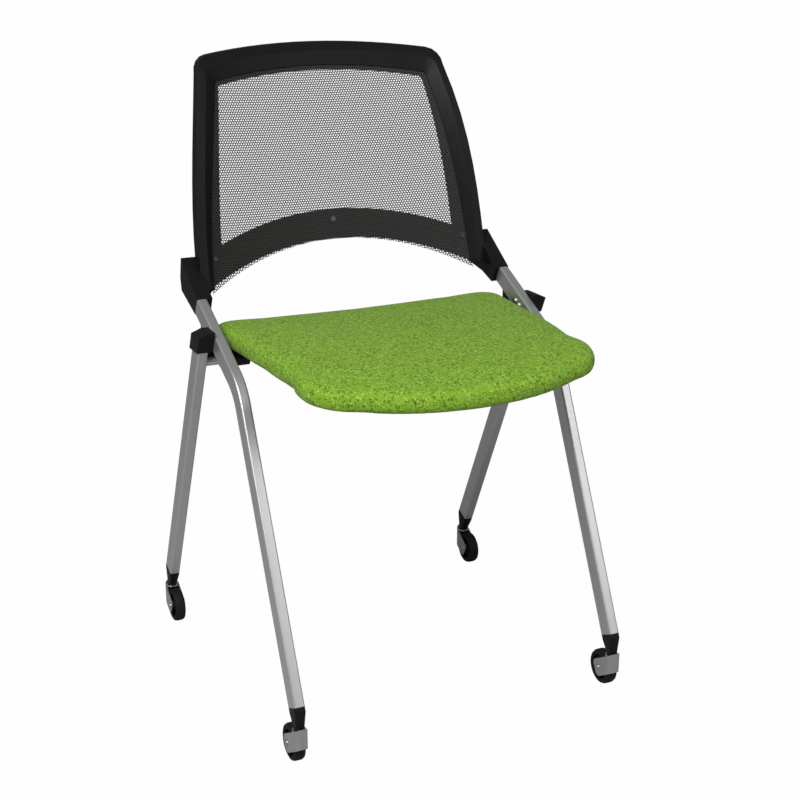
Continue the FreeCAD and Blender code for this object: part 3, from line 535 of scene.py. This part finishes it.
def ply_finish():
    """Pale plywood with a grain that runs front to back."""
    material, tree, shader, place = new_material("seat plywood", 0.6)
    stretch = add_node(tree, "ShaderNodeMapping", {"Scale": (1.0, 0.08, 1.0)})
    tree.links.new(place, stretch.inputs["Vector"])
    effect = place_group(tree, shared_groups()["grain"], stretch.outputs[0], grain=0.002,
                         patches=0.012)
    darker = tuple(c * 0.72 for c in colours().board)
    tree.links.new(mixed_colour(tree, effect.outputs["Patch"], darker, colours().board),
                   shader.inputs["Base Color"])
    return material


MATERIALS = {}


def finish_for(name):
    """The material of one finish, made once."""
    if not MATERIALS:
        tint = colours()
        MATERIALS.update({
            "tube": grained_finish("silver paint", tint.tube, 0.40, 0.85, grain=0.0006,
                                   depth=0.00001, patch_amount=0.03, rough_amount=0.05,
                                   specular=0.5),
            "steel": brushed_finish("satin metal", tint.steel, 0.32),
            "plastic": grained_finish("black plastic", tint.plastic, 0.50, grain=0.0008,
                                      depth=0.00005),
            "rubber": grained_finish("wheel rubber", tint.rubber, 0.62, grain=0.0012,
                                     depth=0.00003),
            "cloth": cloth_finish(),
            "net": net_finish(),
            "ply": ply_finish(),
            "bush": grained_finish("bush plastic", tint.bush, 0.4),
            "dark steel": brushed_finish("dark screws", tuple(c * 0.18 for c in tint.steel), 0.4),
        })
    return MATERIALS[name]


# Mesh helpers

def keep_object(name, mesh, finish):
    """New object for a finished mesh, with its material."""
    obj = bpy.data.objects.new(name, mesh)
    bpy.context.scene.collection.objects.link(obj)
    mesh.materials.clear()
    mesh.materials.append(finish_for(finish))
    return obj


def node_bmesh(node):
    """Merged copy of a CAD node's mesh."""
    bm = bmesh.new()
    bm.from_mesh(NODES[node].data)
    bmesh.ops.remove_doubles(bm, verts=bm.verts, dist=MERGE_DISTANCE)
    return bm


def smooth_mesh(mesh, angle):
    for polygon in mesh.polygons:
        polygon.use_smooth = True
    mesh.set_sharp_from_angle(angle=angle)


def rounded_copy(node, body, finish, radius, turn=EDGE_TURN):
    """Copy of a CAD node with its sharp edges rounded; stands for that node."""
    bm = node_bmesh(node)
    bmesh.ops.dissolve_limit(bm, angle_limit=FLAT_TURN, verts=bm.verts, edges=bm.edges)
    mesh = bpy.data.meshes.new(node + "_looks")
    bm.to_mesh(mesh)
    bm.free()
    smooth_mesh(mesh, SHARP_TURN)
    obj = keep_object(node + "_looks", mesh, finish)
    bevel = obj.modifiers.new("rounded edges", "BEVEL")
    bevel.width = radius
    bevel.segments = sizes().round_steps
    bevel.limit_method = "ANGLE"
    bevel.angle_limit = turn
    bevel.harden_normals = True
    bevel.miter_outer = "MITER_ARC"
    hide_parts(node)
    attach(obj, body)


def paint_nodes(names, finish):
    """Gives CAD nodes that keep their own mesh a material."""
    for name in names:
        obj = NODES[name]
        if not obj.material_slots:
            obj.data.materials.append(None)
        for material_slot in obj.material_slots:
            material_slot.link = "OBJECT"
            material_slot.material = finish_for(finish)


def evaluated_mesh(obj):
    """Mesh of an object with its modifiers applied."""
    depsgraph = bpy.context.evaluated_depsgraph_get()
    depsgraph.update()
    return bpy.data.meshes.new_from_object(obj.evaluated_get(depsgraph))


# Operators: one for each group of pieces

class CHAIR_OT_tubes(bpy.types.Operator):
    """Silver paint on side tubes, rear legs and cross rod"""
    bl_idname = "chair.tubes"
    bl_label = "Tubes and legs"

    def execute(self, context):
        paint_nodes([kind + side for kind in ("front_tube_", "rear_leg_") for side in SIDES], "tube")
        paint_nodes(["pivot_rod"], "tube")
        return {"FINISHED"}


class CHAIR_OT_mouldings(bpy.types.Operator):
    """Rounded black mouldings: joint housings, back brackets, seat brackets and leg plugs"""
    bl_idname = "chair.mouldings"
    bl_label = "Mouldings"

    def execute(self, context):
        radius = sizes().moulding_round
        for side in SIDES:
            rounded_copy("joint_housing_" + side, "frame", "plastic", radius * HOUSING_ROUND)
            rounded_copy("back_bracket_" + side, "frame", "plastic", radius * BACK_BRACKET_ROUND)
            rounded_copy("seat_bracket_" + side, "seat", "plastic", radius * SEAT_BRACKET_ROUND)
        for corner in CORNERS:
            rounded_copy("leg_plug_" + corner, "frame", "plastic", radius * PLUG_ROUND)
        return {"FINISHED"}


class CHAIR_OT_back_frame(bpy.types.Operator):
    """Dished outer frame with rounded rim, and the inner ring with its band"""
    bl_idname = "chair.back_frame"
    bl_label = "Back frame"

    def execute(self, context):
        rounded_copy("back_shell", "frame", "plastic", sizes().frame_round,
                     FRAME_EDGE_TURN)
        paint_nodes(["back_carrier"], "plastic")
        return {"FINISHED"}


class CHAIR_OT_net(bpy.types.Operator):
    """Knitted net stretched over ring and band"""
    bl_idname = "chair.net"
    bl_label = "Net"

    def execute(self, context):
        bm = node_bmesh("back_mesh")
        bm.normal_update()
        hidden = [face for face in bm.faces if face.normal.y > NET_FRONT_FACING]
        bmesh.ops.delete(bm, geom=hidden, context="FACES")
        mesh = bpy.data.meshes.new("net")
        bm.to_mesh(mesh)
        # No cut size is known, so the area is read off this finished shape
        area = sum(face.calc_area() for face in bm.faces)
        bm.free()
        smooth_mesh(mesh, SOFT_SHARP_TURN)
        obj = keep_object("net", mesh, "net")
        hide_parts("back_mesh")
        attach(obj, "frame")
        return {"FINISHED"}


class CHAIR_OT_cushion(bpy.types.Operator):
    """Upholstered seat pad: inflated cover over the moulded board"""
    bl_idname = "chair.cushion"
    bl_label = "Cushion"

    def execute(self, context):
        bm = node_bmesh("seat_cushion")
        mesh = bpy.data.meshes.new("cushion_core")
        bm.to_mesh(mesh)
        bm.free()
        core = keep_object("cushion_core", mesh, "cloth")
        draw_in = core.modifiers.new("draw in", "DISPLACE")
        draw_in.strength = -sizes().cushion_shrink
        draw_in.mid_level = 0.0
        remesh = core.modifiers.new("even mesh", "REMESH")
        remesh.mode = "VOXEL"
        remesh.voxel_size = sizes().cushion_voxel
        even = evaluated_mesh(core)
        core.modifiers.clear()
        core.data = even
        inflate(core)
        shape_pad(core.data)
        relax = core.modifiers.new("relax", "SMOOTH")
        relax.factor = 0.5
        relax.iterations = 3
        finer = core.modifiers.new("finer", "SUBSURF")
        finer.levels = 1
        finer.render_levels = 1
        final = evaluated_mesh(core)
        core.modifiers.clear()
        core.data = final
        smooth_mesh(final, SOFT_SHARP_TURN)
        final.materials.clear()
        final.materials.append(finish_for("cloth"))
        core.name = "cushion"
        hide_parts("seat_cushion")
        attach(core, "seat")
        return {"FINISHED"}


def inflate(obj):
    """Short cloth run with air pressure; no point moves further than the named swell."""
    before = [vertex.co.copy() for vertex in obj.data.vertices]
    cloth = obj.modifiers.new("cover", "CLOTH")
    cloth.settings.use_pressure = True
    cloth.settings.uniform_pressure_force = AIR_PRESSURE
    cloth.settings.effector_weights.gravity = 0.0
    cloth.settings.quality = CLOTH_QUALITY
    cloth.settings.tension_stiffness = COVER_STIFFNESS
    cloth.settings.compression_stiffness = COVER_STIFFNESS
    scene = bpy.context.scene
    for number in range(1, CLOTH_FRAMES + 1):
        scene.frame_set(number)
    swollen = evaluated_mesh(obj)
    obj.modifiers.clear()
    limit = sizes().cushion_swell
    for vertex, start, swelled in zip(obj.data.vertices, before, swollen.vertices):
        move = swelled.co - start
        if move.length > limit:
            move *= limit / move.length
        vertex.co = start + move
    bpy.data.meshes.remove(swollen)
    scene.frame_set(1)


def eased(value):
    """Smooth step between nought and one."""
    value = min(1.0, max(0.0, value))
    return value * value * (3.0 - 2.0 * value)


def shape_pad(mesh):
    """Rear middle lower than the corners, front rolled down, sides full beside the sitter."""
    low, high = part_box("seat_cushion")
    settings = sizes()
    for vertex in mesh.vertices:
        place = (vertex.co.y - low.y) / (high.y - low.y)
        across = vertex.co.x / high.x
        rear = eased((place - REAR_DIP_START) / REAR_DIP_EASE)
        front = eased((FRONT_ROLL_REACH - place) / FRONT_ROLL_REACH)
        side = eased((place - SIDE_SWELL_START) / SIDE_SWELL_EASE)
        vertex.co.z -= settings.rear_dip * rear * (1.0 - across * across)
        vertex.co.z -= settings.front_roll * front
        vertex.co.x += settings.side_swell * side * across


class CHAIR_OT_castors(bpy.types.Operator):
    """Forks, axles, stems and wheels"""
    bl_idname = "chair.castors"
    bl_label = "Castors"

    def execute(self, context):
        radius = sizes().metal_round
        for corner in CORNERS:
            body = "castor_" + corner
            wheel = "wheel_" + corner
            rounded_copy("castor_fork_" + corner, body, "steel", radius)
            rounded_copy("wheel_tread_" + corner, wheel, "rubber", radius,
                         TREAD_EDGE_TURN)
            rounded_copy("wheel_core_" + corner, wheel, "plastic", radius)
            paint_nodes(["castor_stem_" + corner, "castor_axle_" + corner], "steel")
        return {"FINISHED"}


class CHAIR_OT_hardware(bpy.types.Operator):
    """Screws, nuts, bushes, stop pads, board and tray"""
    bl_idname = "chair.hardware"
    bl_label = "Hardware"

    def execute(self, context):
        paint_nodes(["joint_bolts"], "steel")
        rounded_copy("band_screws", "frame", "dark steel", sizes().metal_round * SCREW_ROUND)
        paint_nodes(["joint_nuts", "bracket_screws"], "steel")
        paint_nodes(["seat_bush_" + side for side in SIDES], "bush")
        paint_nodes(["stop_pads"], "rubber")
        paint_nodes(["seat_board"], "ply")
        paint_nodes(["seat_pan"], "plastic")
        return {"FINISHED"}


class CHAIR_OT_studio(bpy.types.Operator):
    """White floor, soft lamps and the camera"""
    bl_idname = "chair.studio"
    bl_label = "Studio"

    def execute(self, context):
        add_floor()
        add_lamp("key lamp", KEY_PLACE, KEY_SIZE, studio().key_power)
        add_lamp("fill lamp", FILL_PLACE, FILL_SIZE, studio().fill_power)
        add_surroundings()
        add_camera()
        context.scene.view_settings.view_transform = "Standard"
        return {"FINISHED"}


def add_floor():
    bm = bmesh.new()
    bmesh.ops.create_grid(bm, x_segments=1, y_segments=1, size=FLOOR_SIZE)
    mesh = bpy.data.meshes.new("floor")
    bm.to_mesh(mesh)
    bm.free()
    floor = bpy.data.objects.new("floor", mesh)
    bpy.context.scene.collection.objects.link(floor)
    material, tree, shader, _ = new_material("studio floor", 0.9)
    shader.inputs["Base Color"].default_value = (*colours().backdrop, 1.0)
    glow = add_node(tree, "ShaderNodeEmission", {"Color": WHITE, "Strength": 1.0})
    path = add_node(tree, "ShaderNodeLightPath")
    seen = math_node(tree, "MAXIMUM", path.outputs["Is Camera Ray"],
                     path.outputs["Is Transmission Ray"])
    share = math_node(tree, "MULTIPLY", seen, studio().floor_glow)
    blend = add_node(tree, "ShaderNodeMixShader")
    tree.links.new(share, blend.inputs["Fac"])
    tree.links.new(shader.outputs[0], blend.inputs[1])
    tree.links.new(glow.outputs[0], blend.inputs[2])
    tree.links.new(blend.outputs[0], tree.nodes["Material Output"].inputs["Surface"])
    mesh.materials.append(material)


def add_lamp(name, place, size, power):
    """Square area lamp aimed at the seat."""
    lamp = bpy.data.lights.new(name, "AREA")
    lamp.size = size
    lamp.energy = power
    obj = bpy.data.objects.new(name, lamp)
    obj.location = place
    aim = Vector(LAMP_AIM) - Vector(place)
    obj.rotation_euler = aim.to_track_quat("-Z", "Y").to_euler()
    bpy.context.scene.collection.objects.link(obj)


def add_surroundings():
    world = bpy.data.worlds.new("surroundings")
    world.use_nodes = True
    tree = world.node_tree
    light = tree.nodes["Background"]
    light.inputs["Color"].default_value = WHITE
    light.inputs["Strength"].default_value = studio().sky_strength
    seen = add_node(tree, "ShaderNodeBackground", {"Color": WHITE, "Strength": 1.0})
    path = add_node(tree, "ShaderNodeLightPath")
    blend = add_node(tree, "ShaderNodeMixShader")
    tree.links.new(path.outputs["Is Camera Ray"], blend.inputs["Fac"])
    tree.links.new(light.outputs[0], blend.inputs[1])
    tree.links.new(seen.outputs[0], blend.inputs[2])
    tree.links.new(blend.outputs[0], tree.nodes["World Output"].inputs["Surface"])
    bpy.context.scene.world = world


def add_camera():
    settings = studio()
    azimuth = settings.camera_azimuth
    elevation = settings.camera_elevation
    back = Vector((math.sin(azimuth) * math.cos(elevation),
                   -math.cos(azimuth) * math.cos(elevation), math.sin(elevation)))
    camera = bpy.data.cameras.new("camera")
    camera.lens = settings.camera_lens
    camera.sensor_width = SENSOR_WIDTH
    camera.clip_end = CAMERA_REACH
    obj = bpy.data.objects.new("camera", camera)
    obj.location = settings.camera_place
    obj.rotation_euler = (-back).to_track_quat("-Z", "Y").to_euler()
    bpy.context.scene.collection.objects.link(obj)
    bpy.context.scene.camera = obj


class CHAIR_PT_panel(bpy.types.Panel):
    """Lists the chair's pieces and settings"""
    bl_idname = "CHAIR_PT_panel"
    bl_label = "Nesting chair"
    bl_space_type = "VIEW_3D"
    bl_region_type = "UI"
    bl_category = "Chair"

    def draw(self, context):
        for operator in BUILD_STEPS:
            self.layout.operator(operator.bl_idname)
        for group in (context.scene.chair_sizes, context.scene.chair_colours,
                      context.scene.chair_studio):
            box = self.layout.box()
            for name in group.__annotations__:
                box.prop(group, name)


BUILD_STEPS = (CHAIR_OT_tubes, CHAIR_OT_mouldings, CHAIR_OT_back_frame, CHAIR_OT_net,
               CHAIR_OT_cushion, CHAIR_OT_castors, CHAIR_OT_hardware, CHAIR_OT_studio)
CLASSES = (ChairSizes, ChairColours, ChairStudio) + BUILD_STEPS + (CHAIR_PT_panel,)


def register():
    for item in CLASSES:
        bpy.utils.register_class(item)
    bpy.types.Scene.chair_sizes = PointerProperty(type=ChairSizes)
    bpy.types.Scene.chair_colours = PointerProperty(type=ChairColours)
    bpy.types.Scene.chair_studio = PointerProperty(type=ChairStudio)


def unregister():
    del bpy.types.Scene.chair_studio
    del bpy.types.Scene.chair_colours
    del bpy.types.Scene.chair_sizes
    for item in reversed(CLASSES):
        bpy.utils.unregister_class(item)


def main():
    register()
    for step in (bpy.ops.chair.tubes, bpy.ops.chair.mouldings, bpy.ops.chair.back_frame,
                 bpy.ops.chair.net, bpy.ops.chair.cushion, bpy.ops.chair.castors,
                 bpy.ops.chair.hardware, bpy.ops.chair.studio):
        step()


if __name__ == "__main__":
    main()
